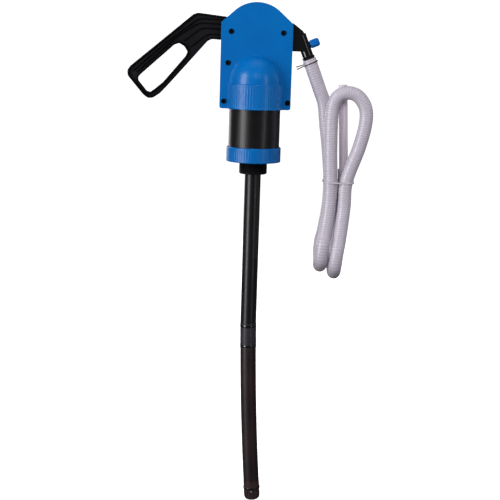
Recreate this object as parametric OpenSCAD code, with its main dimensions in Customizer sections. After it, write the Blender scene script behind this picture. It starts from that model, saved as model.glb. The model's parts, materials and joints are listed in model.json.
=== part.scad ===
// Drum barrel pump: a hand lever pump that screws into a 2 inch drum bung.
// Origin: on the pump's axis, at the underside of the ring nut, where the drum's bung begins.
// +Z is up along the pump's axis, +X points to the outlet and -Y to the front shell.
// At rest the lever is down on its stop and the piston is at the top of the cylinder.

/* [Cylinder and ring nut] */
// Outside diameter of the pump cylinder
cyl_od = 107; // [105:0.5:107.5]
// Wall of the pump cylinder
cyl_wall = 3.5; // [3:0.1:4]
// Outside diameter of the ring nut
collar_od = 114.4; // [112:0.2:118]
// Height of the ring nut
collar_h = 31; // [26:0.5:34]

/* [Bung nipple and suction tube] */
// Outside diameter of the bung thread (2 inch pipe thread)
bung_od = 59.6; // [58:0.1:60]
// Length of the bung thread below the ring nut
bung_len = 26; // [22:0.5:30]
// Outside diameter of the suction tube
tube_od = 34; // [32:0.5:35]
// Wall of the suction tube
tube_wall = 3; // [2.5:0.1:3.5]
// Height of the upper tube's lower end, below the ring nut
upper_tube_end = 350; // [300:5:450]
// Length of the joiner's sleeve
joiner_len = 55; // [45:1:65]
// Length of the lower tube, along its bow
lower_tube_len = 302; // [250:2:400]
// Lean of the joiner and of the lower tube's start, in degrees
tube_lean = 1.5; // [0.5:0.1:2.5]
// Bow of the lower tube from end to end, in degrees
tube_bow = 2.9; // [1:0.1:4]

/* [Housing] */
// Half width of the housing
house_half_w = 74; // [73:0.5:78]
// Height of the housing's lower edge
house_bottom = 110; // [109:0.5:112]
// Radius of the arched roof
roof_r = 70; // [68:0.5:74]
// Height of the roof arch's centre
roof_centre_z = 258.7; // [257:0.5:264]
// Half depth of the flat part of the housing
plate_half_d = 20; // [19.5:0.1:22]
// Wall of the shells
wall = 3; // [2.5:0.1:3.2]
// Radius of the band round the cylinder's top
band_r = 61; // [60.8:0.1:63]
// Height of the ledge between the band and the dome
band_top = 161.5; // [158:0.5:166]
// Radius of the dome
dome_r = 57; // [55:0.5:59]

/* [Lever and stroke] */
// Depth of the lever's rims
lever_d = 20; // [18:0.5:20]
// Thickness of the lever's web
web_t = 8; // [6:0.5:10]
// Swing of the lever from its lower stop, in degrees
lever_swing = 50; // [30:1:50]

/* [Outlet] */
// Diameter of the spout pipe
spout_od = 23; // [21:0.5:24]
// Diameter of the hose barbs
barb_od = 27.4; // [26:0.2:28]
// Slope of the spout from the vertical, in degrees
spout_slope = 22; // [20:1:24]
// Diameter of the vent knob
knob_od = 17.5; // [15:0.5:19]

/* [Hose] */
// Outside diameter of the spiral hose
hose_od = 29; // [27:0.5:29]
// Outside diameter of the smooth nozzle tube
nozzle_od = 19; // [16:0.5:20]

/* [Hidden] */
$fn = 72;

eps = 0.01;                    // overlap of cutting tools
play = 0.05;                   // radial clearance of running fits
shell_blue = [0.0, 0.42, 0.74];
moulded_black = [0.05, 0.05, 0.06];
grey_black = [0.16, 0.16, 0.17];
clear_hose = [0.82, 0.8, 0.86];

// ---- stack on the pump's axis ----
cyl_r = cyl_od / 2;
cyl_in_r = cyl_r - cyl_wall;
lip_h = 4.5;                   // ring nut's lower lip
cap_t = 6;                     // flange of the base cap
gasket_t = 1.5;                // base and head gaskets
cyl_z0 = lip_h + cap_t + gasket_t;
cyl_z1 = house_bottom + 8;
head_z0 = cyl_z1 - 6;          // underside of the head's plug
flange_z0 = cyl_z1 + gasket_t;
flange_z1 = flange_z0 + 5.5;
tower_top = flange_z1 + 20;
seal_z = flange_z1 + 6;        // underside of the rod packing
nut_z = seal_z + 6;            // underside of the gland nut's shank

// ---- lever pivot and rod ----
pivot = [-53, 268];            // X and Z of the lever's pivot
sleeve_r = 6;
bush_r = 8.5;
pin_r = 4;
rod_r = 6;
half_swing = lever_swing / 2;
arm_x = -pivot[0];             // level distance from the pivot to the rod
pin_z = pivot[1] + arm_x * tan(half_swing);
slot_s0 = arm_x - 0.5;         // slot's ends, along the arm from the pivot
slot_s1 = arm_x / cos(half_swing) + 0.6;
slot_r = pin_r + 0.8;

// ---- piston ----
piston_z0 = 86;
piston_t = 14;
piston_top = piston_z0 + piston_t;
flap_t = 2.5;
flap_lift = 4;
stop_z = piston_top + flap_t + flap_lift;

// ---- screws: X, Z, and whether it is the pivot's ----
screw_r = 2.5;
screw_head_r = 5.2;
nut_t = 4;                     // depth of the nut pockets
screw_spots = [pivot, [54.5, 267.5], [-58, 204], [-65, 125], [67.5, 125]];

// ---- outlet ----
port_z = 245;                  // height of the outlet duct
riser_x = 38;
spout_foot = [99.3, 241.3];    // X and Z of a point on the spout's axis, where the vent knob's axis meets it
mouth_s = 42;                  // distance from that point to the spout's mouth
barb_s = [24, 35];             // distance to the two barbs
knob_s0 = 12;                  // knob's start and length, off the spout's axis
knob_len = 20;

// ---- hose route: points by hand, from the spout's end barb to the nozzle ----
hose_route = [[109.8, 0, 215.4], [112.8, 0, 208], [116, 0, 200], [124, 3, 180], [135, 8, 152], [145, 12, 125],
    [151, 15, 80], [158, 15, 30], [164, 15, -35], [163, 17, -90], [156, 26, -145], [151, 37, -172],
    [149, 32, -202], [149, 0, -218], [149, -32, -202], [151, -37, -172], [156, -26, -145], [163, -17, -90],
    [164, -15, -35], [161, -15, 40], [161, -15, 108], [170, -15, 139], [191.5, -15, 149.5], [214, -15, 143],
    [230, -15, 120], [232, -15, 88], [221, -15, 38], [197, -15, -35], [194, -17, -90], [187, -28, -155],
    [182, -37, -186], [179, -32, -216], [179, 0, -232], [179, 32, -216], [182, 37, -186], [188, 28, -155],
    [194, 17, -90], [195, 15, -35], [194, 15, -12]];
hose_steps = 2;                // rings for each span of the route
hose_sides = 12;
tie_z = -38;
nozzle_low = [193, 15, -30];   // nozzle's lower end, pushed into the hose
nozzle_high = [183.5, 15, 165];

// ==== helpers ====
// a flat outline in X and Z, raised from y0 towards the rear over depth d
module slab(y0, d) { translate([0, y0 + d, 0]) rotate([90, 0, 0]) linear_extrude(d) children(); }

// a round bar along Y at X, Z
module bar_y(spot, r, y0, y1, sides = $fn) {
    translate([spot[0], y0, spot[1]]) rotate([-90, 0, 0]) cylinder(h = y1 - y0, r = r, $fn = sides);
}

module tube(r_out, r_in, z0, z1) {
    translate([0, 0, z0]) difference() {
        cylinder(h = z1 - z0, r = r_out);
        translate([0, 0, -eps]) cylinder(h = z1 - z0 + 2 * eps, r = r_in);
    }
}

// a ring of round section
module torus(ring_r, wire_r, z) {
    translate([0, 0, z]) rotate_extrude() translate([ring_r, 0]) circle(r = wire_r);
}

// children stand on the spout's axis, their +Z pointing to its mouth
module on_spout() { translate([spout_foot[0], 0, spout_foot[1]]) rotate([0, 180 - spout_slope, 0]) children(); }
// children stand on the knob's axis, their +Z pointing away from the spout
module on_knob() { translate([spout_foot[0], 0, spout_foot[1]]) rotate([0, 90 - spout_slope, 0]) children(); }
// children hang below the upper tube, on the leaning axis
module on_lean() { translate([0, 0, -upper_tube_end]) rotate([0, -tube_lean, 0]) children(); }

// ==== housing ====
roof_slope = 42;
function eave_z(w, r) = roof_centre_z + r * cos(roof_slope) - (w - r * sin(roof_slope)) * tan(roof_slope);

// points along an arc, from angle a0 to a1
function arc(centre, r, a0, a1, steps) = [for (i = [0 : steps]) let (a = a0 + (a1 - a0) * i / steps)
    centre + r * [cos(a), sin(a)]];

module house_outline(inset = 0) {
    w = house_half_w - inset;
    r = roof_r - inset;
    z0 = house_bottom + inset;
    c = 5;                     // radius of the lower corners
    polygon(concat(arc([w - c, z0 + c], c, -90, 0, 6), [[w, eave_z(w, r)]],
        arc([0, roof_centre_z], r, 90 - roof_slope, 90 + roof_slope, 48), [[-w, eave_z(w, r)]],
        arc([-w + c, z0 + c], c, 180, 270, 6)));
}

module bulge(inset = 0) {
    z0 = house_bottom + inset;
    dome_z = band_top + 5;
    rotate_extrude() {
        translate([0, z0]) square([band_r - inset, band_top - inset - z0]);
        translate([0, z0]) square([dome_r - inset, dome_z - z0]);
        intersection() {
            translate([0, dome_z]) circle(r = dome_r - inset);
            translate([0, dome_z]) square(dome_r);
        }
    }
}

// front half: what lies at negative Y
module half_room() { translate([-200, -200, 0]) cube([400, 200, 400]); }

module shell_body() {
    intersection() {
        union() {
            slab(-plate_half_d, plate_half_d) house_outline();
            bulge();
        }
        half_room();
    }
}

module shell_hollow() {
    difference() {
        union() {
            slab(-plate_half_d + wall, plate_half_d) house_outline(wall);
            bulge(wall);
        }
        translate([0, 0, house_bottom]) cylinder(h = flange_z0 - house_bottom, r = band_r);   // ledge under the head
        for (spot = screw_spots) bar_y(spot, 6.5, -plate_half_d, spot == pivot ? -lever_d / 2 - 0.4 : 1);
        bar_y(pivot, 10, -plate_half_d, -lever_d / 2 - 0.4);
    }
}

// slot for the lever, in the left wall and the left of the roof
module lever_slot() {
    slab(-lever_d / 2 - 1, lever_d / 2 + 2)
        polygon([[-90, 246], [-66, 246], [-66, 282], [-38, 300], [-38, 335], [-90, 335]]);
}

module half_shell() {
    difference() {
        shell_body();
        shell_hollow();
        translate([0, 0, house_bottom - 1]) cylinder(h = flange_z0 - house_bottom + 2, r = cyl_r + 0.1);
        lever_slot();
        bar_y(pivot, sleeve_r + 0.03, -plate_half_d + wall, 1);
        for (spot = screw_spots) bar_y(spot, screw_r + 0.1, -plate_half_d - 1, 1);
        translate([0, 0, port_z]) rotate([0, 90, 0]) cylinder(h = house_half_w + 5, r = 11.1);
    }
}

module front_shell() {
    color(shell_blue) difference() {
        half_shell();
        for (spot = screw_spots) bar_y(spot, screw_head_r + 0.2, -plate_half_d - 1, -plate_half_d + 1);   // dimples
    }
}

module rear_shell() {
    color(shell_blue) difference() {
        mirror([0, 1, 0]) half_shell();
        for (spot = screw_spots) bar_y(spot, 4.7, plate_half_d - nut_t, plate_half_d + 1, 6);   // nut pockets
    }
}

module shell_screws() {
    color(moulded_black) for (spot = screw_spots) difference() {
        union() {
            bar_y(spot, screw_head_r, -plate_half_d - 2, -plate_half_d + 1);
            bar_y(spot, screw_r, -plate_half_d + 1 - eps, plate_half_d);
        }
        bar_y(spot, 2.3, -plate_half_d - 3, -plate_half_d, 6);
    }
}

module shell_nuts() {
    color(moulded_black) for (spot = screw_spots) difference() {
        bar_y(spot, 4.6, plate_half_d - nut_t, plate_half_d - 0.2, 6);
        bar_y(spot, screw_r, plate_half_d - nut_t - 1, plate_half_d + 1);
    }
}

module pivot_sleeve() {
    color("silver") difference() {
        bar_y(pivot, sleeve_r, -plate_half_d + wall, plate_half_d - nut_t);   // ends against the pivot's nut
        bar_y(pivot, screw_r + 0.05, -plate_half_d, plate_half_d);
    }
}

// ==== lever ====
lever_outline = [[-62, 297.5], [-123, 304], [-132, 301], [-261, 192], [-267.5, 183], [-266.5, 171.5], [-234, 133.5],
    [-224, 126], [-213, 127], [-200, 136], [-183, 154], [-102, 247], [-94, 251], [-74, 250], [-50, 247], [-30, 262],
    [-36, 284]];
grip_hole = [[-161, 241], [-150, 235], [-143, 224], [-146.5, 215.5], [-192, 161], [-209.5, 146], [-219.5, 138.5],
    [-227, 140.5], [-245, 162], [-245.5, 168.5], [-240.5, 174.5], [-171, 237.5]];

module ring_of(grow) {
    difference() {
        offset(delta = grow > 0 ? grow : 0) children();
        offset(delta = grow < 0 ? grow : 0) children();
    }
}

// long ribs along the grip and the shank, each from one point to another
web_ribs = [[[-134, 286], [-250, 188]], [[-68, 286], [-119, 291]], [[-68, 262], [-94, 262]],
    [[-101, 257], [-133, 220]], [[-128, 286], [-159, 254]]];

module lever_web() {
    difference() {
        polygon(lever_outline);
        polygon(grip_hole);
    }
}

module lever_rims() {
    intersection() {
        union() {
            ring_of(-4) polygon(lever_outline);
            ring_of(4) polygon(grip_hole);
        }
        lever_web();
    }
}

// the arm inside the housing, from the pivot to its slotted end, at rest
module on_arm() { translate([pivot[0], 0, pivot[1]]) rotate([0, -half_swing, 0]) children(); }

module rounded_bar_2d(s0, s1, r) { polygon(concat(arc([s1, 0], r, -90, 90, 16), arc([s0, 0], r, 90, 270, 16))); }

module lever() {
    half = lever_d / 2;
    yoke_s = arm_x - 13;       // where the fork's gap begins
    cheek_t = half - rod_r - 0.6;
    color(moulded_black) {
        difference() {
            union() {
                slab(-web_t / 2, web_t) lever_web();
                slab(-half, lever_d) lever_rims();
                for (rib = web_ribs) {
                    run = rib[1] - rib[0];
                    translate([rib[0][0], -half + 2, rib[0][1]]) rotate([0, -atan2(run[1], run[0]), 0])
                        translate([0, 0, -1.25]) cube([norm(run), lever_d - 4, 2.5]);
                }
                bar_y(pivot, 16, -half, half);
                on_arm() translate([4, -half + 0.1, -11]) cube([yoke_s - 4, lever_d - 0.2, 22]);
            }
            bar_y(pivot, bush_r, -half - 1, half + 1);
        }
        // the fork's two slotted cheeks
        for (y = [-half, half - cheek_t]) on_arm() slab(y, cheek_t) difference() {
            polygon(concat([[yoke_s - 1, -10.5]], arc([slot_s1, 0], 10.5, -90, 90, 16), [[yoke_s - 1, 10.5]]));
            rounded_bar_2d(slot_s0, slot_s1, slot_r);
        }
    }
}

module lever_bush() {
    color("tan") difference() {
        bar_y(pivot, bush_r, -lever_d / 2, lever_d / 2);
        bar_y(pivot, sleeve_r + play, -lever_d, lever_d);
    }
}

// ==== rod and piston ====
module cross_pin() { color("silver") bar_y([0, pin_z], pin_r, -13, 13); }

module pin_clips() {
    color("silver") for (y = [-12, 10.6]) difference() {
        bar_y([0, pin_z], 6.5, y, y + 1.4);
        bar_y([0, pin_z], pin_r, y - 1, y + 3);
    }
}

module piston_rod() {
    color("silver") difference() {
        union() {
            translate([0, 0, piston_top]) cylinder(h = pin_z + 9 - piston_top, r = rod_r);
            translate([0, 0, piston_z0 - 12]) cylinder(h = piston_t + 12 + eps, r = rod_r - 1);
        }
        bar_y([0, pin_z], pin_r, -20, 20);
    }
}

module piston() {
    port_at = 26;
    color(moulded_black) difference() {
        union() {
            translate([0, 0, piston_z0]) cylinder(h = piston_t, r = cyl_in_r - 0.4);
            translate([0, 0, piston_z0]) cylinder(h = stop_z - piston_z0, r = 8.5);
        }
        tube(cyl_in_r, cyl_in_r - 2.5, piston_z0 + 5, piston_z0 + 9);
        for (a = [0 : 60 : 300]) rotate(a) translate([port_at, 0, piston_z0 - 1]) cylinder(h = piston_t + 2, r = 5.5);
        translate([0, 0, piston_z0 - 1]) cylinder(h = piston_t + 1, r = rod_r - 1);
        translate([0, 0, piston_top]) cylinder(h = 20, r = rod_r);
    }
}

module piston_seal() { color("dimgray") tube(cyl_in_r - play, cyl_in_r - 2.4, piston_z0 + 5.1, piston_z0 + 8.9); }

module piston_flap() { color("dimgray") tube(36, 8.9, piston_top, piston_top + flap_t); }

module flap_stop() { color("silver") tube(14, rod_r, stop_z, stop_z + 2); }

module piston_nut() {
    color("silver") translate([0, 0, piston_z0 - 8]) difference() {
        cylinder(h = 8, r = 10, $fn = 6);
        translate([0, 0, -1]) cylinder(h = 10, r = rod_r - 1);
    }
}

module rod_bush() { color("tan") tube(9, rod_r + play, head_z0, seal_z); }

module rod_seal() { color("dimgray") tube(9, rod_r + 0.02, seal_z, nut_z); }

module gland_nut() {
    color(moulded_black) difference() {
        union() {
            translate([0, 0, nut_z]) cylinder(h = tower_top - nut_z + eps, r = 12);
            translate([0, 0, tower_top]) cylinder(h = 7, r = 16, $fn = 6);
        }
        translate([0, 0, nut_z - 1]) cylinder(h = 40, r = rod_r + 0.4);
    }
}

module pump_head() {
    socket_x = 58;             // where the outlet spout's spigot seats
    duct_end = house_half_w - wall - 0.5;
    color(moulded_black) difference() {
        union() {
            translate([0, 0, head_z0]) cylinder(h = flange_z0 - head_z0 + eps, r = cyl_in_r - 0.1);
            translate([0, 0, flange_z0]) cylinder(h = flange_z1 - flange_z0, r = band_r - wall - 0.4);
            translate([0, 0, flange_z0]) cylinder(h = tower_top - flange_z0, r = 16);
            translate([riser_x, 0, flange_z0]) cylinder(h = port_z + 12 - flange_z0, r = 12);
            translate([riser_x, 0, port_z]) rotate([0, 90, 0]) cylinder(h = duct_end - riser_x, r = 12);
            translate([socket_x - 3, 0, port_z]) rotate([0, 90, 0]) cylinder(h = duct_end - socket_x + 3, r = 14);
        }
        translate([0, 0, head_z0 - 1]) cylinder(h = 60, r = 9);
        translate([0, 0, nut_z]) cylinder(h = 40, r = 12);
        translate([riser_x, 0, head_z0 - 1]) cylinder(h = port_z + 10 - head_z0, r = 9);
        translate([riser_x, 0, port_z]) rotate([0, 90, 0]) cylinder(h = 50, r = 9);
        translate([socket_x, 0, port_z]) rotate([0, 90, 0]) cylinder(h = 30, r = 11.1);
    }
}

module head_gasket() { color("dimgray") tube(cyl_r, cyl_in_r, cyl_z1, flange_z0); }

module cylinder_tube() { color(moulded_black) tube(cyl_r, cyl_in_r, cyl_z0, cyl_z1); }

// ==== base, valve and ring nut ====
module base_cap() {
    color(moulded_black) difference() {
        union() {
            translate([0, 0, lip_h]) cylinder(h = cap_t, r = cyl_r - 0.2);
            translate([0, 0, -eps]) cylinder(h = lip_h + 2 * eps, r = bung_od / 2 - 0.5);
            translate([0, 0, 1.5 - bung_len]) cylinder(h = bung_len - 1.5, r = bung_od / 2);
            translate([0, 0, -bung_len]) cylinder(h = 1.5 + eps, r1 = bung_od / 2 - 1.5, r2 = bung_od / 2);
        }
        translate([0, 0, -bung_len - 1]) cylinder(h = bung_len - 3, r = tube_od / 2);
        translate([0, 0, -10]) cylinder(h = 40, r = tube_od / 2 - tube_wall);
    }
}

module base_gasket() { color("dimgray") tube(cyl_r - 0.2, cyl_in_r - 1, lip_h + cap_t, cyl_z0); }

intake_r = 20;
module intake_disc() { color("dimgray") translate([0, 0, lip_h + cap_t]) cylinder(h = 3, r = intake_r); }

module valve_cage() {
    z0 = lip_h + cap_t;
    color(moulded_black) difference() {
        translate([0, 0, z0]) cylinder(h = 14, r = intake_r + 5);
        translate([0, 0, z0 - 1]) cylinder(h = 12, r = intake_r + 0.5);
        for (a = [0, 90]) rotate(a) translate([-40, -8, z0 + 1]) cube([80, 16, 8]);
        for (a = [0 : 60 : 300]) rotate(a) translate([12, 0, z0 + 5]) cylinder(h = 20, r = 4);
    }
}

module collar_nut() {
    r = collar_od / 2;
    color(shell_blue) difference() {
        rotate_extrude() polygon([[0, 0], [r - 1, 0], [r, 1], [r, collar_h - 3], [r - 1, collar_h - 1],
            [r - 3, collar_h], [0, collar_h]]);
        translate([0, 0, -1]) cylinder(h = 20, r = bung_od / 2 + 0.5);
        translate([0, 0, lip_h]) cylinder(h = 60, r = cyl_r + 0.1);
    }
}

// ==== suction side ====
tube_r = tube_od / 2;
tube_in_r = tube_r - tube_wall;
bow_r = lower_tube_len * 180 / (PI * tube_bow);
rise_play = 0.5;               // room for the lean at the joiner's upper face

module upper_tube() { color(moulded_black) tube(tube_r, tube_in_r, rise_play - upper_tube_end, -4); }

module joiner() {
    color(grey_black) on_lean() difference() {
        union() {
            translate([0, 0, -joiner_len]) cylinder(h = joiner_len, r = tube_r + 0.3);
            translate([0, 0, -joiner_len - 20]) cylinder(h = joiner_len + 38, r = tube_in_r - 0.5);
        }
        for (z = [-6.5, -joiner_len + 4]) tube(tube_r + 1, tube_r - 0.9, z, z + 2.5);
        for (a = [15 : 30 : 345]) rotate(a) translate([tube_r - 0.3, -0.8, 9 - joiner_len])
            cube([2, 1.6, joiner_len - 18]);   // grip flutes
        translate([0, 0, -100]) cylinder(h = 200, r = tube_in_r - 3);
    }
}

module lower_tube() {
    color(moulded_black) on_lean() translate([bow_r, 0, -joiner_len]) rotate([90, 0, 0]) rotate([0, 0, 180])
        rotate_extrude(angle = tube_bow, $fn = 720) translate([bow_r, 0]) difference() {
            circle(r = tube_r, $fn = 72);
            circle(r = tube_in_r, $fn = 72);
        }
}

// children hang below the lower tube's end
module on_foot() {
    on_lean() translate([bow_r * (1 - cos(tube_bow)), 0, -joiner_len - bow_r * sin(tube_bow)])
        rotate([0, -tube_bow, 0]) children();
}

inlet_slots = 15;              // odd, so that no slot faces another

module foot_strainer() {
    color(grey_black) on_foot() difference() {
        rotate_extrude() polygon([[0, -42], [10, -42], [13.6, -41], [16, -38.6], [17.1, -35.5],
            [tube_r + 0.4, -33], [tube_r + 0.4, -16.5], [tube_r + 1.3, -16], [tube_r + 1.3, -13.5], [tube_r + 0.3, -13],
            [tube_r + 0.3, -0.3], [tube_in_r - 0.2, -0.3], [tube_in_r - 0.2, 15], [0, 15]]);
        translate([0, 0, -38]) cylinder(h = 80, r = tube_in_r - 2.5);
        for (i = [1 : inlet_slots]) rotate(i * 360 / inlet_slots) translate([5, -0.75, -36]) cube([25, 1.5, 17]);
    }
}

// ==== outlet ====
module outlet_spout() {
    spigot_x = 58;
    axis_at = function (z) spout_foot[0] + (spout_foot[1] - z) * tan(spout_slope);
    color(moulded_black) difference() {
        union() {
            slab(-12.5, 25) polygon([[house_half_w, 231], [axis_at(231), 231], [axis_at(262), 262], [98, 268],
                [94, 273.5], [house_half_w, 288.5]]);
            translate([spigot_x, 0, port_z]) rotate([0, 90, 0]) cylinder(h = 30, r = 11);
            on_spout() translate([0, 0, -26]) cylinder(h = mouth_s + 26, r = spout_od / 2);
            for (s = barb_s) on_spout() {
                translate([0, 0, s - 3.5]) cylinder(h = 3.5 + eps, r1 = spout_od / 2, r2 = barb_od / 2);
                translate([0, 0, s]) cylinder(h = 4.5, r1 = barb_od / 2, r2 = spout_od / 2 - 0.2);
            }
            on_knob() cylinder(h = knob_s0, r = 7);
        }
        translate([0, 0, port_z]) rotate([0, 90, 0]) cylinder(h = axis_at(port_z), r = 7.5);
        on_spout() translate([0, 0, -6]) cylinder(h = 80, r = 7.5);
        on_knob() translate([0, 0, 2]) cylinder(h = 40, r = 3 + play);
        on_knob() translate([0, 0, knob_s0 - 2]) cylinder(h = 20, r = 5);
        translate([61, 0, port_z]) rotate([0, 90, 0]) tube(12, 8.8, 0, 3);
    }
}

module spout_seal() { color("dimgray") translate([62.5, 0, port_z]) rotate([0, 90, 0]) torus(9.9, 1.1, 0); }

module vent_knob() {
    grip_r = knob_od / 2;
    color(shell_blue) on_knob() difference() {
        union() {
            translate([0, 0, knob_s0 + 0.3]) rotate_extrude() polygon([[0, 0], [grip_r - 2, 0], [grip_r, 2],
                [grip_r, knob_len - 3.5], [grip_r - 2.5, knob_len], [0, knob_len]]);
            translate([0, 0, 8]) cylinder(h = 10, r = 3);
        }
        for (a = [0 : 45 : 315]) rotate(a) translate([grip_r + 0.8, 0, knob_s0 + 3]) cylinder(h = 30, r = 1.6);
    }
}

module vent_seal() { color("dimgray") on_knob() tube(4.9, 3.4, knob_s0 - 2, knob_s0 - 0.1); }

// ==== hose ====
// a smooth curve through the route: Catmull-Rom spans
function span(p0, p1, p2, p3, t) = 0.5 * (2 * p1 + (p2 - p0) * t + (2 * p0 - 5 * p1 + 4 * p2 - p3) * t * t
    + (3 * p1 - p0 - 3 * p2 + p3) * t * t * t);
function route_point(pts, i, t) = span(pts[max(i - 1, 0)], pts[i], pts[i + 1], pts[min(i + 2, len(pts) - 1)], t);
function smooth_route(pts, steps) = concat([for (i = [0 : len(pts) - 2]) for (k = [0 : steps - 1])
    route_point(pts, i, k / steps)], [pts[len(pts) - 1]]);
function unit(v) = v / norm(v);
function heading(path, i) = unit(path[min(i + 1, len(path) - 1)] - path[max(i - 1, 0)]);
// the side direction is carried along the curve, so the tube doesn't twist
function carried(path, i) = i == 0 ? unit(cross(heading(path, 0), [0, 1, 0]))
    : let (t = heading(path, i), n = carried(path, i - 1)) unit(n - (n * t) * t);

module swept_tube(path, r, sides) {
    rings = len(path);
    corners = [for (i = [0 : rings - 1]) let (t = heading(path, i), n = carried(path, i), b = cross(t, n))
        for (k = [0 : sides - 1]) path[i] + r * cos(360 * k / sides) * n + r * sin(360 * k / sides) * b];
    walls = [for (i = [0 : rings - 2]) for (k = [0 : sides - 1]) let (a = i * sides + k,
        b = i * sides + (k + 1) % sides) each [[a, a + sides, b], [b, a + sides, b + sides]]];
    first = [for (k = [0 : sides - 1]) k];
    last = [for (k = [sides - 1 : -1 : 0]) (rings - 1) * sides + k];
    polyhedron(points = corners, faces = concat(walls, [first, last]), convexity = 10);
}

module hose() { color(clear_hose) swept_tube(smooth_route(hose_route, hose_steps), hose_od / 2, hose_sides); }

module hose_clip() {
    wire = 2.2;
    ring_r = hose_od / 2 + 0.1;
    color("silver") on_spout() {
        tube(ring_r + wire, ring_r, 33.5, 38.5);
        // the two ears, pressed together to open the clip
        for (side = [-1, 1]) translate([ring_r + 0.5, side * 4, 36 + side * 1.2]) rotate([0, 90, side * 12])
            cylinder(h = 17, r = wire / 2);
    }
}

module hose_tie() {
    r = hose_od / 2 + 0.3;
    t = 1.4;
    x0 = 164;                  // middles of the hank's first and last runs
    x1 = 197.4;
    color("white") translate([0, 0, tie_z - 1.5]) linear_extrude(3) difference() {
        tie_outline(x0, x1, r + t);
        tie_outline(x0, x1, r);
    }
}

module tie_outline(x0, x1, r) {
    y = 15;
    polygon(concat(arc([x1, -y], r, -90, 0, 12), arc([x1, y], r, 0, 90, 12), arc([x0, y], r, 90, 180, 12),
        arc([x0, -y], r, 180, 270, 12)));
}

module nozzle_tube() {
    run = nozzle_high - nozzle_low;
    color(clear_hose) translate(nozzle_low) rotate([0, atan2(run[0], run[2]), 0]) tube(nozzle_od / 2, nozzle_od / 2 - 2,
        0, norm(run));
}

front_shell();
rear_shell();
shell_screws();
shell_nuts();
pivot_sleeve();
lever();
lever_bush();
cross_pin();
pin_clips();
piston_rod();
rod_bush();
rod_seal();
gland_nut();
pump_head();
head_gasket();
cylinder_tube();  // cylinder
piston();
piston_seal();
piston_flap();
flap_stop();
piston_nut();
base_cap();
base_gasket();
intake_disc();
valve_cage();
collar_nut();
upper_tube();
joiner();
lower_tube();
foot_strainer();
outlet_spout();
spout_seal();
vent_knob();
vent_seal();
hose();
hose_clip();
hose_tie();
nozzle_tube();
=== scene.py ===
import json
import math

import bmesh
import bpy
from mathutils import Matrix, Vector


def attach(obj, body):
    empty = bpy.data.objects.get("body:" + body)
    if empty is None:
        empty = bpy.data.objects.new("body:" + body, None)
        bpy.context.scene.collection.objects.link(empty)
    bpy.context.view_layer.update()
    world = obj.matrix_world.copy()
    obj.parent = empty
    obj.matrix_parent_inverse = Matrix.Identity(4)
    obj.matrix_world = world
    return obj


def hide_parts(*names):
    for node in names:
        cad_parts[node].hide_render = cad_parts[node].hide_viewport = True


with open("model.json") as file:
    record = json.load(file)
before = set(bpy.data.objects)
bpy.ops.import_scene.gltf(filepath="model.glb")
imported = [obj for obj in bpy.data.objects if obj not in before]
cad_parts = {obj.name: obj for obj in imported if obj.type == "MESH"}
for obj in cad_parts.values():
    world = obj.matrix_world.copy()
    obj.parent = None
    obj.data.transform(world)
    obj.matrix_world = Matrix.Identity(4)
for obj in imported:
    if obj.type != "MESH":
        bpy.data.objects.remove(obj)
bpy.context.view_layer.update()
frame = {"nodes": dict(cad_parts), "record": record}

nodes = frame["nodes"]
scene = bpy.context.scene
mm = 0.001


def millimetres(*spot):
    return Vector(spot) * mm


def srgb(red, green, blue):  # a colour on the 0 to 255 scale, as the shaders want it
    linear = [((c / 255 + 0.055) / 1.055) ** 2.4 if c > 10.3 else c / 3294.6 for c in (red, green, blue)]
    return (*linear, 1.0)


# camera: on a stand in front of the pump, looking slightly down, a touch off level
cameraView = {
    "at": (-0.001, -2.526, 0.255),
    "down": 10,  # degrees below level
    "roll": 1.75,
    "lens": 86.4,  # millimetres, as the sensor
    "sensor": 36,
}


def setCamera(view):
    camera = bpy.data.objects.new("camera", bpy.data.cameras.new("camera"))
    scene.collection.objects.link(camera)
    camera.data.lens = view["lens"]
    camera.data.sensor_width = view["sensor"]
    tilt = Matrix.Rotation(math.radians(90 - view["down"]), 4, "X")
    roll = Matrix.Rotation(math.radians(view["roll"]), 4, "Z")
    camera.matrix_world = Matrix.Translation(view["at"]) @ tilt @ roll
    scene.camera = camera


setCamera(cameraView)
print("camera set")


# materials: a wire is one value inside a material, and arithmetic on it adds Math nodes
class Wire:
    def __init__(self, finish, socket):
        self.finish = finish
        self.socket = socket

    def math(self, operation, *values):
        return self.finish.node("ShaderNodeMath", {"operation": operation}, dict(enumerate(values)))

    def out(self, index):  # another output of the same node
        return Wire(self.finish, self.socket.node.outputs[index])

    def __add__(self, other):
        return self.math("ADD", self, other)

    def __radd__(self, other):
        return self.math("ADD", other, self)

    def __sub__(self, other):
        return self.math("SUBTRACT", self, other)

    def __rsub__(self, other):
        return self.math("SUBTRACT", other, self)

    def __mul__(self, other):
        return self.math("MULTIPLY", self, other)

    def __rmul__(self, other):
        return self.math("MULTIPLY", other, self)

    def __truediv__(self, other):
        return self.math("DIVIDE", self, other)

    def __pow__(self, other):
        return self.math("POWER", self, other)


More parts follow.
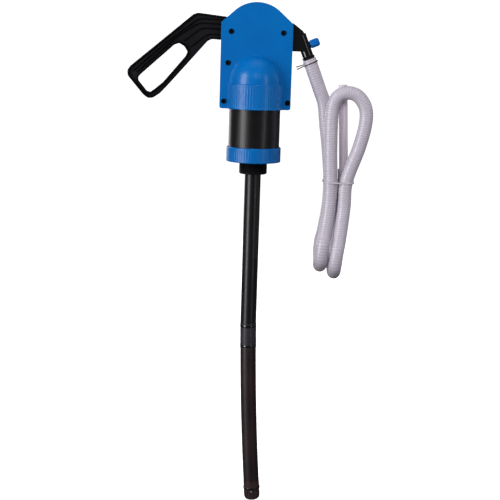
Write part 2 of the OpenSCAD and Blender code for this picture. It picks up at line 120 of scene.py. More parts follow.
class Finish:
    def __init__(self, name, **fixed):
        self.material = bpy.data.materials.new(name)
        self.material.use_nodes = True
        self.tree = self.material.node_tree
        self.shader = self.tree.nodes["Principled BSDF"]
        for socket, value in fixed.items():
            self.shader.inputs[socket.replace("_", " ")].default_value = value
        self.place = self.node("ShaderNodeTexCoord").out("Object")

    def feed(self, socket, value):
        if isinstance(value, Wire):
            self.tree.links.new(value.socket, socket)
        else:
            socket.default_value = value

    def node(self, kind, settings=None, sockets=None, out=0):
        made = self.tree.nodes.new(kind)
        for key, value in (settings or {}).items():
            setattr(made, key, value)
        for key, value in (sockets or {}).items():
            self.feed(made.inputs[key], value)
        return Wire(self, made.outputs[out])

    def noise(self, scale, detail=2.0, at=None, roughness=0.5):
        return self.node("ShaderNodeTexNoise", {}, {"Vector": at or self.place, "Scale": scale,
                                                    "Detail": detail, "Roughness": roughness})

    def stretched(self, x, y, z):  # object coordinates with a scale of their own along each axis
        return self.node("ShaderNodeMapping", {}, {"Vector": self.place, "Scale": (x, y, z)})

    def spread(self, value, low, high):  # turns low to high into 0 to 1, and stops there
        return self.node("ShaderNodeMapRange", {"clamp": True}, {0: value, 1: low, 2: high, 3: 0.0, 4: 1.0})

    def mix(self, amount, first, second):
        return self.node("ShaderNodeMix", {"data_type": "RGBA"}, {0: amount, 6: first, 7: second}, out=2)

    def bump(self, height, depth):
        return self.node("ShaderNodeBump", {}, {"Height": height, "Distance": depth, "Strength": 1.0})

    def put(self, **inputs):
        for socket, value in inputs.items():
            self.feed(self.shader.inputs[socket.replace("_", " ")], value)
        return self.material


def mouldedPlastic(name, colour, deeper, worn, roughness, grain, grainDepth, wear, **fixed):
    finish = Finish(name, **fixed)
    cloud = finish.noise(14, 2)
    fine = finish.noise(grain, 2, roughness=0.6)
    drag = finish.noise(1, 3, at=finish.stretched(900, 900, 60))
    scuff = finish.spread(finish.noise(55, 4), 0.56, 0.72) * finish.spread(drag, 0.5, 0.7)
    rubbed = finish.node("ShaderNodeAttribute", {"attribute_name": "edgeWear"}, out=2)
    rubbed = rubbed * finish.spread(finish.noise(130, 3), 0.35, 0.7) * wear
    base = finish.mix(finish.spread(cloud, 0.35, 0.65), colour, deeper)
    base = finish.mix(rubbed, base, worn)
    dull = roughness + 0.1 * (cloud - 0.5) + 0.12 * scuff + 0.08 * rubbed
    return finish.put(Base_Color=base, Roughness=dull, Normal=finish.bump(fine, grainDepth))


def extrudedPlastic(name, colour, deeper, roughness):  # pipe: fine die lines run down its length
    finish = Finish(name)
    cloud = finish.noise(9, 3)
    dieLines = finish.noise(1, 3, at=finish.stretched(620, 620, 3.5))
    rubbed = finish.spread(finish.noise(1, 4, at=finish.stretched(70, 70, 9)), 0.55, 0.8)
    base = finish.mix(finish.spread(cloud, 0.35, 0.65), colour, deeper)
    dull = roughness + 0.14 * (dieLines - 0.5) + 0.1 * rubbed
    return finish.put(Base_Color=base, Roughness=dull, Normal=finish.bump(dieLines, 0.00005))


def turnedMetal(name, colour, deeper, roughness, along=(30, 30, 3200)):  # fine lines left by the lathe
    finish = Finish(name, Metallic=1.0)
    turned = finish.noise(1, 2, at=finish.stretched(*along))
    cloud = finish.noise(60, 3)
    base = finish.mix(finish.spread(cloud, 0.3, 0.7), colour, deeper)
    dull = roughness + 0.2 * (turned - 0.5) + 0.12 * (cloud - 0.5)
    return finish.put(Base_Color=base, Roughness=dull, Normal=finish.bump(turned, 0.00002))


def sinteredBronze(name, colour, deeper):
    finish = Finish(name, Metallic=1.0)
    pores = finish.node("ShaderNodeTexVoronoi", {}, {"Vector": finish.place, "Scale": 1800.0})
    grains = finish.spread(pores, 0.1, 0.4)
    base = finish.mix(grains, deeper, colour)
    return finish.put(Base_Color=base, Roughness=0.62 - 0.2 * grains, Normal=finish.bump(grains, 0.00005))


def nitrileRubber(name, colour, dusty):
    finish = Finish(name)
    dust = finish.spread(finish.noise(90, 5), 0.5, 0.75)
    skin = finish.noise(2200, 2)
    return finish.put(Base_Color=finish.mix(dust * 0.5, colour, dusty), Roughness=0.72 + 0.15 * dust,
                      Normal=finish.bump(skin, 0.00003))


def spiralHoseWall(name, pitch, wall, rib, shaded, **fixed):  # a hard spiral shows paler in the soft wall
    finish = Finish(name, **fixed)
    uv = finish.place.out(2)
    parts = finish.node("ShaderNodeSeparateXYZ", {}, {0: uv})
    phase = (parts.out(1) / pitch - parts) * (2 * math.pi)
    crest = phase.math("COSINE", phase) * 0.5 + 0.5
    haze = finish.noise(22, 4)
    fineHaze = finish.noise(260, 3)
    base = finish.mix(crest ** 1.5, wall, rib)
    base = finish.mix(finish.spread(haze, 0.4, 0.7) * 0.55, base, shaded)
    dull = 0.3 + 0.16 * (fineHaze - 0.5) + 0.1 * crest
    return finish.put(Base_Color=base, Roughness=dull, Normal=finish.bump(fineHaze, 0.00004))


# clear tube: its paler lengthwise streaks are painted highlights, and the same streaks vary its roughness
# and bump
def clearTubeWall(name, colour, paler, **fixed):
    finish = Finish(name, **fixed)
    streaksAndSheen = finish.noise(1, 2, at=finish.stretched(330, 330, 2.5))
    base = finish.mix(finish.spread(streaksAndSheen, 0.35, 0.65), colour, paler)
    return finish.put(Base_Color=base, Roughness=0.2 + 0.12 * streaksAndSheen, Normal=finish.bump(streaksAndSheen, 0.00006))


finishes = {
    "shell_blue": mouldedPlastic(
        "shellBlue", srgb(0, 104, 180), srgb(0, 97, 172), srgb(50, 140, 205), roughness=0.27,
        grain=1500, grainDepth=0.00002, wear=0.45, Specular_IOR_Level=0.42),
    "lever_black": mouldedPlastic(
        "leverBlack", srgb(12, 11, 15), srgb(17, 15, 20), srgb(58, 54, 62), roughness=0.46,
        grain=900, grainDepth=0.00006, wear=0.4, Specular_IOR_Level=0.24),
    "black_plastic": extrudedPlastic("pipeBlack", srgb(12, 10, 16), srgb(17, 14, 20), roughness=0.34),
    "grey_black": mouldedPlastic(
        "fittingGrey", srgb(46, 43, 50), srgb(38, 35, 41), srgb(92, 88, 94), roughness=0.42,
        grain=1300, grainDepth=0.00003, wear=0.5),
    "screw_black": turnedMetal(
        "screwBlack", srgb(48, 48, 52), srgb(34, 34, 38), roughness=0.42, along=(900, 60, 900)),
    "steel": turnedMetal("brightSteel", srgb(205, 205, 210), srgb(180, 181, 188), roughness=0.24),
    "rubber": nitrileRubber("nitrileRubber", srgb(28, 28, 30), srgb(78, 76, 74)),
    "bronze": sinteredBronze("sinteredBronze", srgb(196, 152, 88), srgb(112, 78, 42)),
    "tie_white": mouldedPlastic(
        "tieNylon", srgb(196, 192, 202), srgb(188, 184, 194), srgb(225, 223, 230), roughness=0.35,
        grain=1600, grainDepth=0.00002, wear=0.3),
}
blackGloss = mouldedPlastic(
    "spoutBlack", srgb(8, 7, 10), srgb(12, 11, 14), srgb(60, 58, 64), roughness=0.16,
    grain=1200, grainDepth=0.00001, wear=0.4, Coat_Weight=0.7, Coat_Roughness=0.06)
cylinderBlack = extrudedPlastic("cylinderBlack", srgb(11, 10, 14), srgb(16, 13, 18), roughness=0.33)
brownedPipe = extrudedPlastic("lowerPipeBlack", srgb(26, 15, 19), srgb(40, 26, 28), roughness=0.42)
footGrey = mouldedPlastic(
    "footGrey", srgb(50, 36, 36), srgb(60, 46, 44), srgb(104, 88, 84), roughness=0.34,
    grain=1100, grainDepth=0.00004, wear=0.5)
knobBlue = mouldedPlastic(
    "knobBlue", srgb(4, 98, 180), srgb(6, 90, 170), srgb(60, 145, 210), roughness=0.3,
    grain=1500, grainDepth=0.00001, wear=0.5, Specular_IOR_Level=0.3)
wireDark = turnedMetal("springWire", srgb(120, 118, 122), srgb(84, 82, 88), roughness=0.28)
print("materials made:", len(bpy.data.materials))


# shapes: each piece is made in place, in metres, with its object at the origin
def settle(name, bm, finish, body="pump_body", standsFor=(), smooth=38, flatFaces=False):
    mesh = bpy.data.meshes.new(name)
    bm.to_mesh(mesh)
    bm.free()
    mesh.shade_smooth()
    mesh.set_sharp_from_angle(angle=math.radians(smooth))
    mesh.materials.append(finish)
    piece = bpy.data.objects.new(name, mesh)
    scene.collection.objects.link(piece)
    if flatFaces:  # keeps flat faces flat beside their rounded edges
        piece.modifiers.new("flatFaces", "WEIGHTED_NORMAL").keep_sharp = True
    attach(piece, body)
    if standsFor:
        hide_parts(*standsFor)
    return piece


def tidyMesh(bm):
    bmesh.ops.remove_doubles(bm, verts=bm.verts, dist=2e-6)
    bmesh.ops.recalc_face_normals(bm, faces=bm.faces)
    return bm


def lathe(outline, steps):  # turns a closed outline of (radius, height) pairs about the z axis
    bm = bmesh.new()
    rim = [bm.verts.new((r * mm, 0, z * mm)) for r, z in outline]
    edges = [bm.edges.new(pair) for pair in zip(rim, rim[1:] + rim[:1])]
    bmesh.ops.spin(bm, geom=rim + edges, cent=(0, 0, 0), axis=(0, 0, 1), angle=2 * math.pi, steps=steps,
                   use_merge=True)
    return tidyMesh(bm)


def flute(bm, count, depth, fromRadius, low, high):  # presses narrow grooves into a turned wall
    for vert in bm.verts:
        radius = math.hypot(vert.co.x, vert.co.y)
        if radius > fromRadius * mm and low * mm < vert.co.z < high * mm:
            groove = max(0.0, math.cos(count * math.atan2(vert.co.y, vert.co.x))) ** 3
            shrink = 1 - depth * mm * groove / radius
            vert.co.x *= shrink
            vert.co.y *= shrink


def roundOff(r, z, radius, start, steps=4):  # a quarter round for an outline, from an angle in degrees
    turns = [math.radians(start + 90 * i / steps) for i in range(steps + 1)]
    return [(r + radius * math.cos(t), z + radius * math.sin(t)) for t in turns]


# a tube along points: reach(distance, angle) is its radius, and sideAt(point) where its angles start
def sweep(points, sides, reach, closed=False, sideAt=None):
    bm = bmesh.new()
    uv = bm.loops.layers.uv.new("UVMap")
    rows = len(points) - 1
    bmesh.ops.create_grid(bm, x_segments=sides, y_segments=rows, size=0.5)
    run = [0.0]
    for a, b in zip(points, points[1:]):
        run.append(run[-1] + (b - a).length)
    ahead, side = [], []
    for i in range(rows + 1):
        before = points[i - 1] if i else points[rows - 1 if closed else 0]
        after = points[i + 1] if i < rows else points[1 if closed else rows]
        ahead.append((after - before).normalized())
        across = side[-1] if side else ahead[0].cross(Vector((0.1, 1, 0.2)))
        if sideAt:
            across = sideAt(points[i])
        side.append((across - across.dot(ahead[i]) * ahead[i]).normalized())
    spots = {v: (round((v.co.x + 0.5) * sides), round((v.co.y + 0.5) * rows)) for v in bm.verts}
    for face in bm.faces:
        for loop in face.loops:
            column, row = spots[loop.vert]
            loop[uv].uv = (column / sides, run[row])
    for vert, (column, row) in spots.items():
        angle = 2 * math.pi * column / sides
        across = side[row] * math.cos(angle) + ahead[row].cross(side[row]) * math.sin(angle)
        vert.co = points[row] + across * reach(run[row], angle)
    return tidyMesh(bm)


def closeEnds(bm):  # flat caps on an open tube
    bmesh.ops.holes_fill(bm, edges=[e for e in bm.edges if e.is_boundary], sides=0)
    bmesh.ops.recalc_face_normals(bm, faces=bm.faces)
    return bm


def curveThrough(points, steps):  # a smooth line through points
    line = []
    for i in range(len(points) - 1):
        a, b = points[max(i - 1, 0)], points[i]
        c, d = points[i + 1], points[min(i + 2, len(points) - 1)]
        for k in range(steps):
            t = k / steps
            line.append(0.5 * (2 * b + (c - a) * t + (2 * a - 5 * b + 4 * c - d) * t * t
                               + (3 * b - a - 3 * c + d) * t * t * t))
    return line + [points[-1]]


def evenly(line, gap):  # the same line with its points a steady gap apart
    run = [0.0]
    for a, b in zip(line, line[1:]):
        run.append(run[-1] + (b - a).length)
    count = round(run[-1] / gap)
    even, k = [], 0
    for i in range(count + 1):
        want = run[-1] * i / count
        while k < len(line) - 2 and run[k + 1] < want:
            k += 1
        even.append(line[k].lerp(line[k + 1], (want - run[k]) / (run[k + 1] - run[k])))
    return even, run[-1]


# hose: off the spout's end barb, then down and folded into a hank
hoseSpec = {
    "route": [(109.8, 0, 215.4), (112.8, 0, 208), (116, 0, 200), (124, 3, 180), (135, 8, 152),
              (145, 12, 125), (151, 15, 80), (158, 15, 30), (164, 15, -35), (163, 17, -90),
              (156, 26, -145), (151, 37, -172), (149, 32, -202), (149, 0, -218), (149, -32, -202),
              (151, -37, -172), (156, -26, -145), (163, -17, -90), (164, -15, -35), (161, -15, 40),
              (161, -15, 108), (170, -15, 139), (191.5, -15, 149.5), (214, -15, 143), (230, -15, 120),
              (232, -15, 88), (221, -15, 38), (197, -15, -35), (194, -17, -90), (187, -28, -155),
              (182, -37, -186), (179, -32, -216), (179, 0, -232), (179, 32, -216), (182, 37, -186),
              (188, 28, -155), (194, 17, -90), (195, 15, -35), (194, 15, -12)],
    "diameter": 29,
    "pitch": 5.2,  # of the spiral, and how far it stands out
    "crest": 0.4,
    "bore": 23,
    "deep": 8,  # how far the open ends go in
    "rings": 6,  # to each turn of the spiral
    "sides": 20,
}
hoseFinish = spiralHoseWall("spiralHose", hoseSpec["pitch"] * mm, srgb(182, 175, 189), srgb(200, 194, 206),
                            srgb(192, 183, 200), Coat_Weight=0.35, Coat_Roughness=0.15)


def makeHose(spec):
    through = curveThrough([millimetres(*p) for p in spec["route"]], 40)
    line, length = evenly(through, spec["pitch"] * mm / spec["rings"])
    outer, crest, pitch = spec["diameter"] / 2 * mm, spec["crest"] * mm, spec["pitch"] * mm

    def reach(distance, angle):
        return outer - crest * (0.5 - 0.5 * math.cos(2 * math.pi * distance / pitch - angle))

    bm = sweep(line, spec["sides"], reach)
    for ahead in (line[0] - line[1], line[-1] - line[-2]):  # the wall turns in at both cut ends
        end = line[0] if ahead == line[0] - line[1] else line[-1]
        rim = [e for e in bm.edges if e.is_boundary and (e.verts[0].co - end).length < 2 * outer]
        for factor, shift in ((spec["bore"] / spec["diameter"], 0), (1, -spec["deep"] * mm)):
            grown = bmesh.ops.extrude_edge_only(bm, edges=rim)["geom"]
            fresh = [v for v in grown if isinstance(v, bmesh.types.BMVert)]
            rim = [e for e in grown if isinstance(e, bmesh.types.BMEdge) and e.is_boundary]
            for vert in fresh:
                vert.co = end + (vert.co - end) * factor + ahead.normalized() * shift
    bmesh.ops.recalc_face_normals(bm, faces=bm.faces)
    closeEnds(bm)
    return bm, line[::spec["rings"]], length


hoseMesh, hoseLine, hoseLength = makeHose(hoseSpec)
hose = settle("spiralHose", hoseMesh, hoseFinish, standsFor=["hose"], smooth=60)
print("hose made, metres long:", round(hoseLength, 3))

# nozzle: smooth clear tube pushed into the hose's free end
nozzleSpec = {
    "low": (193, 15, -30),
    "high": (183.5, 15, 165),
    "radius": 9.5,
    "wall": 2,  # its free end is chamfered
}
nozzleFinish = clearTubeWall("clearNozzle", srgb(190, 176, 190), srgb(218, 208, 218), Coat_Weight=0.5,
                             Coat_Roughness=0.08)


def makeNozzle(spec):
    low, high = millimetres(*spec["low"]), millimetres(*spec["high"])
    height = (high - low).length / mm
    r, inner = spec["radius"], spec["radius"] - spec["wall"]
    rim = [(r, height - 0.8), (r - 0.6, height), (inner + 0.3, height), (inner, height - 0.6)]
    bm = lathe([(inner, 0), (r, 0)] + rim, steps=48)
    turn = Vector((0, 0, 1)).rotation_difference(high - low).to_matrix().to_4x4()
    bmesh.ops.transform(bm, matrix=Matrix.Translation(low) @ turn, verts=bm.verts)
    return settle("clearNozzle", bm, nozzleFinish, standsFor=["nozzle_tube"])


nozzle = makeNozzle(nozzleSpec)

# the spout's frame: its axis runs down to the mouth
spoutFrame = {
    "foot": (99.3, 0, 241.3),
    "slope": 22,  # degrees from the vertical
}
spoutTurn = Matrix.Rotation(math.radians(180 - spoutFrame["slope"]), 4, "Y")
onSpout = Matrix.Translation(millimetres(*spoutFrame["foot"])) @ spoutTurn

# clip: one length of spring wire, just over a turn round the hose, its ends bent out into two looped ears
clipSpec = {
    "at": 36,  # along the spout's axis
    "radius": 15.7,
    "wire": 1.1,  # radius, as the loop's
    "ear": 17,
    "loop": 2.4,
    "rise": 3.2,  # of its turn, along the axis
}


def makeClip(spec):
    r, at, small, rise = spec["radius"], spec["at"], spec["loop"], spec["rise"]
    ears = []
    for side in (-1, 1):  # out from the coil, ending in a small loop
        tip = r + spec["ear"] * 0.7
        ear = [(r, side * 3, at + side * 1.6), (r + spec["ear"] * 0.4, side * 4.5, at + side * 2.2),
               (tip, side * 5, at + side * 2.6)]
        loop = [(tip + small * math.sin(t), side * (7.4 - small * math.cos(t)), at + side * 2.6)
                for t in [math.radians(40 * k) for k in range(1, 9)]]
        ears.append([millimetres(*p) for p in ear + loop])
    turns = [math.radians(-11 + 382 * k / 60) for k in range(1, 60)]
    coil = [millimetres(r * math.cos(t), r * math.sin(t), at - rise / 2 + rise * k / len(turns))
            for k, t in enumerate(turns)]
    whole = curveThrough(ears[0][::-1] + coil + ears[1], 3)
    bm = closeEnds(sweep(whole, 10, lambda distance, angle: spec["wire"] * mm))
    bmesh.ops.transform(bm, matrix=onSpout, verts=bm.verts)
    return settle("springClip", bm, wireDark, standsFor=["hose_clip"], smooth=60)


clip = makeClip(clipSpec)


# softened copies of CAD nodes: real edges are never sharp, and rounded ones wear paler
softening = {
    "flat": 0.4,  # degrees: faces that lean less than this are one
    "sharper": 30,  # degrees: edges above this are rounded
    "segments": 3,
    "smooth": 36,  # degrees: edges below this are shaded smooth
}


def softened(name, finish, width, body="pump_body"):
    bm = bmesh.new()
    bm.from_mesh(nodes[name].data)
    bmesh.ops.remove_doubles(bm, verts=bm.verts, dist=3e-6)
    flat = math.radians(softening["flat"])
    bmesh.ops.dissolve_limit(bm, angle_limit=flat, verts=bm.verts, edges=bm.edges)
    bmesh.ops.dissolve_degenerate(bm, dist=3e-6, edges=bm.edges)
    bmesh.ops.triangulate(bm, faces=[f for f in bm.faces if len(f.verts) > 4], ngon_method="BEAUTY")
    wear = bm.verts.layers.float.new("edgeWear")
    sharper = math.radians(softening["sharper"])
    edges = [e for e in bm.edges if e.is_manifold and e.calc_face_angle(0) > sharper]
    cut = bmesh.ops.bevel(bm, geom=edges, offset=width * mm, offset_type="OFFSET", affect="EDGES",
                          segments=softening["segments"], profile=0.5, material=-1, clamp_overlap=False,
                          loop_slide=False)
    fresh = set(cut["faces"])
    for vert in cut["verts"]:
        if all(face in fresh for face in vert.link_faces):
            vert[wear] = 1.0
    return settle(name + "Finished", bm, finish, body, [name], smooth=softening["smooth"],
                  flatFaces=True)


for name, finish, slotName, width in (
        ("front_shell", finishes["shell_blue"], "shell_blue", 0.4),
        ("rear_shell", finishes["shell_blue"], "shell_blue", 0.4),
        ("shell_screws", finishes["screw_black"], "screw_black", 0.35),
        ("joiner", finishes["grey_black"], "grey_black", 0.35),
        ("foot_strainer", footGrey, "grey_black", 0.4),
        ("gland_nut", finishes["black_plastic"], "black_plastic", 0.4),
        ("shell_nuts", finishes["screw_black"], "screw_black", 0.3)):
    softened(name, finish, width)
softened("vent_knob", knobBlue, 0.35, "vent")
softened("hose_tie", finishes["tie_white"], 0.4)
print("CAD nodes softened")

# lever: a thin web between rounded rims, stiffened by ribs that follow its bend, and a forked arm inside
leverSpec = {
    "outline": [(-62, 297.5), (-123, 304), (-132, 301), (-261, 192), (-267.5, 183), (-266.5, 171.5),
                (-234, 133.5), (-224, 126), (-213, 127), (-200, 136), (-183, 154), (-102, 247),
                (-94, 251), (-74, 250), (-50, 247), (-30, 262), (-36, 284)],
    "hole": [(-161, 241), (-150, 235), (-143, 224), (-146.5, 215.5), (-192, 161), (-209.5, 146),
             (-219.5, 138.5), (-227, 140.5), (-245, 162), (-245.5, 168.5), (-240.5, 174.5), (-171, 237.5)],
    "ribs": [[(-72, 291), (-122, 292), (-190, 240), (-255, 182)],
             [(-72, 282), (-122, 283), (-166, 254), (-248, 179)],
             [(-72, 272), (-116, 273), (-151, 246)],
             [(-72, 261), (-103, 261), (-137, 234)]],
    "corner": 3,  # radius of the outlines' corners, and of the ribs' bends
    "ribBend": 9,
    "web": 8,
    "depth": 20,
    "rim": 4,
    "ribWidth": 2.4,
    "ribDepth": 17,
    "pivot": (-53, 268),
    "boss": 16,  # radius, as the bore's
    "bossBevel": 0.8,
    "bore": 8.5,
    "tilt": 25,  # of the arm at rest
    "arm": (12, 40),  # its solid part, along the arm from the pivot
    "armHeight": 22,
    "armBevel": 1.2,
    "slotEnds": (52.5, 59.08),
    "slot": 4.8,  # half its width
    "cheek": 3.4,  # each side's thickness
    "cheekTip": 10.5,  # radius
}


def rounded(points, radius, closed=True):  # flat corners (x, z) turned into short curves, in metres
    line = []
    last = len(points) - 1
    for i, (x, z) in enumerate(points):
        here = millimetres(x, 0, z)
        if not closed and i in (0, last):
            line.append(here)
            continue
        before = millimetres(points[i - 1][0], 0, points[i - 1][1])
        after = millimetres(points[(i + 1) % len(points)][0], 0, points[(i + 1) % len(points)][1])
        start = here.lerp(before, min(0.45, radius * mm / (before - here).length))
        end = here.lerp(after, min(0.45, radius * mm / (after - here).length))
        line += [start.lerp(here, t).lerp(here.lerp(end, t), t) for t in (0, 0.25, 0.5, 0.75, 1)]
    return line


def inset(points, distance):  # moves a closed outline sideways, to its left for a positive distance
    moved = []
    for i, here in enumerate(points):
        a = Vector(here) - Vector(points[i - 1])
        b = Vector(points[(i + 1) % len(points)]) - Vector(here)
        lean = (Vector((-a.y, a.x)).normalized() + Vector((-b.y, b.x)).normalized()) / 2
        moved.append(tuple(Vector(here) + lean / lean.length_squared * distance))
    return moved


def bar(halfDepth, halfWidth):  # the radius of a bar with soft corners, in millimetres
    return lambda distance, angle: mm * ((abs(math.cos(angle)) / halfDepth) ** 5
                                         + (abs(math.sin(angle)) / halfWidth) ** 5) ** -0.2


def plate(bm, loops, low, high):  # a flat plate between outlines, from y = low to high
    fresh = []
    for loop in loops:
        ring = [bm.verts.new((p.x, low * mm, p.z)) for p in loop]
        fresh += [bm.edges.new(pair) for pair in zip(ring, ring[1:] + ring[:1])]
    filled = bmesh.ops.triangle_fill(bm, use_beauty=True, use_dissolve=False, edges=fresh)["geom"]
    faces = [f for f in filled if isinstance(f, bmesh.types.BMFace)]
    raised = bmesh.ops.extrude_face_region(bm, geom=faces, use_keep_orig=True)["geom"]
    bmesh.ops.translate(bm, vec=(0, (high - low) * mm, 0),
                        verts=[v for v in raised if isinstance(v, bmesh.types.BMVert)])


def joinInto(bm, other):
    part = bpy.data.meshes.new("part")
    other.to_mesh(part)
    other.free()
    bm.from_mesh(part)
    bpy.data.meshes.remove(part)


def makeLever(spec):
    half = spec["depth"] / 2
    bm = bmesh.new()
    web = [rounded(spec[name], spec["corner"]) for name in ("outline", "hole")]
    plate(bm, web, -spec["web"] / 2, spec["web"] / 2)
    bmesh.ops.recalc_face_normals(bm, faces=bm.faces)
    for outline in (spec["outline"], spec["hole"]):  # a rim along both edges of the web
        line = rounded(inset(outline, spec["rim"] / 2), spec["corner"])
        line, length = evenly(line + line[:1], 1.2 * mm)
        joinInto(bm, sweep(line, 24, bar(half, spec["rim"] / 2), closed=True,
                           sideAt=lambda p: Vector((0, 1, 0))))
    for rib in spec["ribs"]:
        line, length = evenly(rounded(rib, spec["ribBend"], closed=False), 1.5 * mm)
        joinInto(bm, closeEnds(sweep(line, 24, bar(spec["ribDepth"] / 2, spec["ribWidth"] / 2),
                                     sideAt=lambda p: Vector((0, 1, 0)))))
    x, z = spec["pivot"]
    r, bevel = spec["boss"], spec["bossBevel"]
    boss = lathe([(spec["bore"], -half), (r - bevel, -half), (r, bevel - half), (r, half - bevel),
                  (r - bevel, half), (spec["bore"], half)], steps=64)
    atPivot = Matrix.Translation(millimetres(x, 0, z))
    bmesh.ops.transform(boss, matrix=atPivot @ Matrix.Rotation(math.pi / 2, 4, "X"), verts=boss.verts)
    joinInto(bm, boss)
    arm = bmesh.new()
    begin, start = spec["arm"]
    slotLow, slotHigh = spec["slotEnds"]
    tip = spec["cheekTip"]
    size = millimetres(start - begin, spec["depth"] - 0.2, spec["armHeight"])
    bmesh.ops.create_cube(arm, size=1, matrix=Matrix.Translation(millimetres((start + begin) / 2, 0, 0))
                          @ Matrix.Diagonal((*size, 1)))
    edges = [e for e in arm.edges if abs(e.verts[0].co.x - e.verts[1].co.x) > 0.01]
    bmesh.ops.bevel(arm, geom=edges, offset=spec["armBevel"] * mm, affect="EDGES", segments=3, profile=0.5,
                    material=-1)
    turns = [math.radians(-90 + 180 * k / 20) for k in range(21)]
    cheek = [millimetres(start - 1, 0, -tip)]
    cheek += [millimetres(slotHigh + tip * math.cos(t), 0, tip * math.sin(t)) for t in turns]
    cheek += [millimetres(start - 1, 0, tip)]
    r = spec["slot"]
    slot = [millimetres(slotHigh + r * math.cos(t), 0, r * math.sin(t)) for t in turns]
    slot += [millimetres(slotLow - r * math.cos(t), 0, -r * math.sin(t)) for t in turns]
    for low in (-half, half - spec["cheek"]):
        plate(arm, [cheek, slot], low, low + spec["cheek"])
    bmesh.ops.recalc_face_normals(arm, faces=arm.faces)
    bmesh.ops.transform(arm, matrix=atPivot @ Matrix.Rotation(math.radians(-spec["tilt"]), 4, "Y"),
                        verts=arm.verts)
    joinInto(bm, arm)
    return settle("ribbedLever", bm, finishes["lever_black"], "lever", ["lever"])


makeLever(leverSpec)
print("lever made")

# ring nut: turned, with a rounded top edge and fine grip flutes
ringSpec = {
    "radius": 57.2,
    "height": 31,
    "bore": 53.7,
    "lip": 30.4,  # inner radius, as the bore
    "lipHeight": 4.6,
    "flutes": 60,
    "fluteDepth": 0.7,
    "foot": 1.4,  # roundings of the foot and the top edge
    "top": 2.2,
}


def makeRingNut(spec):
    r, h, foot, top = spec["radius"], spec["height"], spec["foot"], spec["top"]
    outline = [(spec["lip"], 0)] + roundOff(r - foot, foot, foot, -90) + [(r, 4.5), (r, h - 7)]
    outline += roundOff(r - top, h - top, top, 0) + roundOff(spec["bore"] + 0.7, h - 0.6, 0.6, 90, 2)
    outline += [(spec["bore"], spec["lipHeight"]), (spec["lip"], spec["lipHeight"])]
    bm = lathe(outline, steps=spec["flutes"] * 6)
    flute(bm, spec["flutes"], spec["fluteDepth"], r - 0.5, 3.5, h - 4)
    return settle("ringNut", bm, finishes["shell_blue"], standsFor=["collar_nut"])


makeRingNut(ringSpec)

# fluted band round the housing's foot, with a proud rim below and a rounded ledge above
bandSpec = {
    "radius": 61.3,
    "low": 110,
    "high": 161.5,
    "wall": 2.5,
    "flutes": 64,
    "fluteDepth": 0.9,
}


def makeBand(spec):
    r, low, high = spec["radius"], spec["low"], spec["high"]
    inside = r - spec["wall"]
    outline = [(inside, low + 0.4)] + roundOff(r - 0.5, low + 1.2, 1.0, -90) + [(r + 0.5, low + 2.6)]
    outline += [(r, low + 3.4), (r, low + 6), (r, high - 3.5)] + roundOff(r - 1.0, high - 0.8, 1.0, 0)
    outline += [(inside, high + 0.2)]
    bm = lathe(outline, steps=spec["flutes"] * 6)
    flute(bm, spec["flutes"], spec["fluteDepth"], r - 0.3, low + 5, high - 3)
    return settle("flutedBand", bm, finishes["shell_blue"])


makeBand(bandSpec)

# bung nipple: the base cap with the whole helix of its pipe thread
nippleSpec = {
    "radius": 29.8,
    "depth": 1.3,  # of the thread
    "pitch": 2.31,
    "length": 26,
    "bore": 14,
    "chamfer": 1.2,
    "flange": (53.2, 4.5, 10.5),  # its radius, and its underside and top
}


def makeNipple(spec):
    core, end = spec["radius"] - spec["depth"], -spec["length"]
    bore, chamfer = spec["bore"], spec["chamfer"]
    wide, under, top = spec["flange"]
    bm = lathe([(bore, end), (core - chamfer, end), (core, end + chamfer), (core, under), (wide, under),
                (wide, top), (bore, top)], steps=120)
    turns = (spec["length"] - 3) / spec["pitch"]
    helix = []
    for i in range(round(turns * 72) + 1):
        t = 2 * math.pi * i / 72
        helix.append(millimetres((core - 0.1) * math.cos(t), (core - 0.1) * math.sin(t),
                                 end + 1.6 + spec["pitch"] * i / 72))
    ridge = closeEnds(sweep(helix, 4, lambda distance, angle: (spec["depth"] + 0.1) * mm,
                            sideAt=lambda p: Vector((p.x, p.y, 0))))
    joinInto(bm, ridge)
    return settle("bungNipple", bm, finishes["lever_black"], standsFor=["base_cap"],
                  smooth=30)


makeNipple(nippleSpec)
print("ring nut, band and nipple made")

# dark glossy bands: painted shade, black rings that stand in for the shadow in the joiner's two end
# grooves, and a like glossy black band round the foot
ringsSpec = {
    "joinerTop": (0, 0, -350),
    "lean": 1.5,  # of the joiner's axis, in degrees
    "joinerBands": [(-8.5, -2), (-53, -46.5)],  # heights along the axis
    "foot": (16.98, 0, -706.55),
    "footLean": 4.4,
    "footBand": (-17.5, -13.0),
    "radius": 17.55,
    "footRadius": 18.35,
    "wall": 1.5,
    "rounding": 0.8,
}


def makeShadeBands(spec):
    bm = bmesh.new()
    wall, edge = spec["wall"], spec["rounding"]
    bands = [(band, spec["radius"], spec["joinerTop"], spec["lean"]) for band in spec["joinerBands"]]
    bands.append((spec["footBand"], spec["footRadius"], spec["foot"], spec["footLean"]))
    for (low, high), r, top, lean in bands:
        ring = lathe([(r - wall, low)] + roundOff(r - edge, low + edge, edge, -90)
                     + roundOff(r - edge, high - edge, edge, 0) + [(r - wall, high)], steps=72)
        bmesh.ops.transform(ring, matrix=Matrix.Translation(millimetres(*top))
                            @ Matrix.Rotation(math.radians(-lean), 4, "Y"), verts=ring.verts)
        joinInto(bm, ring)
    # the glossy black of these bands is painted shade for the joiner's grooves
    return settle("darkShadeBands", bm, blackGloss)


makeShadeBands(ringsSpec)
print("dark shade bands made")

# every CAD node takes its slot's finish, and three of them one of their own
nodeSlots = {part["node"]: part["material_slot"] for part in frame["record"]["subparts"]}
ownFinish = {"cylinder": cylinderBlack, "lower_tube": brownedPipe, "outlet_spout": blackGloss}
for name, node in nodes.items():
    node.data.materials.clear()
    node.data.materials.append(ownFinish.get(name) or finishes.get(nodeSlots[name], nozzleFinish))

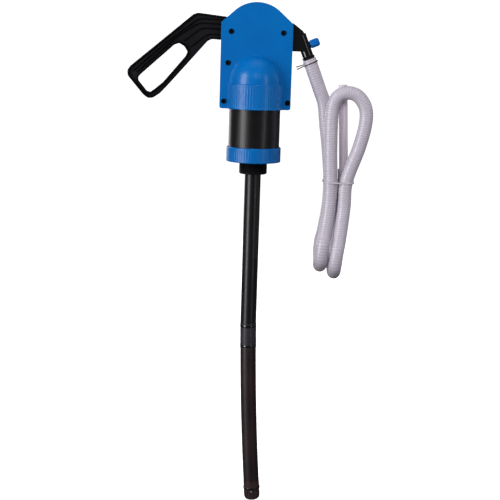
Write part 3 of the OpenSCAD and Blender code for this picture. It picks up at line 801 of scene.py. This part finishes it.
# studio: a round white room, tall soft boxes that draw the highlights, and fills that leave none
studio = {
    "floor": -0.756,
    "wall": 5.2,  # radius
    "top": 6,
    "cove": 1.0,
    "aim": (0, 0, 0.05),  # the spot that every lamp faces
    "boxes": [  # name, place, width, height, watts, whether it shows as a highlight
        ("keyLeft", (-1.85, -1.45, 0.2), 0.95, 2.6, 46, True),
        ("stripRight", (1.75, -1.75, 0.2), 0.3, 2.4, 6, True),
        ("frontFill", (0.2, -3.2, 1.8), 1.8, 1.2, 62, False),
        ("backLeft", (-1.5, 2.4, 0.6), 1.2, 2.2, 18, True),
        ("backFill", (0.6, 3.2, 1.6), 1.8, 1.2, 46, False),
        ("rightFill", (3.0, 0.3, 1.0), 1.4, 1.4, 24, False),
        ("top", (0.0, -0.2, 2.6), 1.6, 1.2, 16, False),
    ],
    "world": 0.07,
}


def makeStudio(spec):
    floor, wall, cove = spec["floor"], spec["wall"], spec["cove"]
    profile = [(0, floor)] + [(wall - cove + cove * math.sin(t), floor + cove - cove * math.cos(t))
                              for t in [math.radians(9 * k) for k in range(11)]] + [(wall, spec["top"])]
    bm = bmesh.new()
    line = [bm.verts.new((r, 0, z)) for r, z in profile]
    edges = [bm.edges.new(pair) for pair in zip(line, line[1:])]
    bmesh.ops.spin(bm, geom=line + edges, cent=(0, 0, 0), axis=(0, 0, 1), angle=2 * math.pi, steps=96,
                   use_merge=True)
    tidyMesh(bm)
    mesh = bpy.data.meshes.new("room")
    bm.to_mesh(mesh)
    bm.free()
    mesh.shade_smooth()
    room = bpy.data.objects.new("room", mesh)
    scene.collection.objects.link(room)
    paper = Finish("whitePaper", Roughness=0.9, Emission_Strength=0.9)
    fibres = paper.noise(60, 3)
    mesh.materials.append(paper.put(Base_Color=paper.mix(fibres, srgb(240, 240, 240), srgb(250, 250, 250)),
                                    Emission_Color=(1, 1, 1, 1)))
    room.visible_glossy = False
    room.visible_diffuse = False
    room.visible_shadow = False
    for name, place, width, height, watts, shows in spec["boxes"]:
        lamp = bpy.data.lights.new(name, "AREA")
        lamp.shape = "RECTANGLE"
        lamp.size, lamp.size_y, lamp.energy = width, height, watts
        box = bpy.data.objects.new(name, lamp)
        scene.collection.objects.link(box)
        box.location = place
        box.visible_glossy = shows
        box.rotation_euler = (Vector(spec["aim"]) - Vector(place)).to_track_quat("-Z", "Y").to_euler()
    world = bpy.data.worlds.new("studio")
    world.use_nodes = True
    sky = world.node_tree.nodes["Background"].inputs
    sky["Color"].default_value = (1, 1, 1, 1)
    sky["Strength"].default_value = spec["world"]
    scene.world = world
    scene.view_settings.view_transform = "Standard"


makeStudio(studio)
print("studio set")
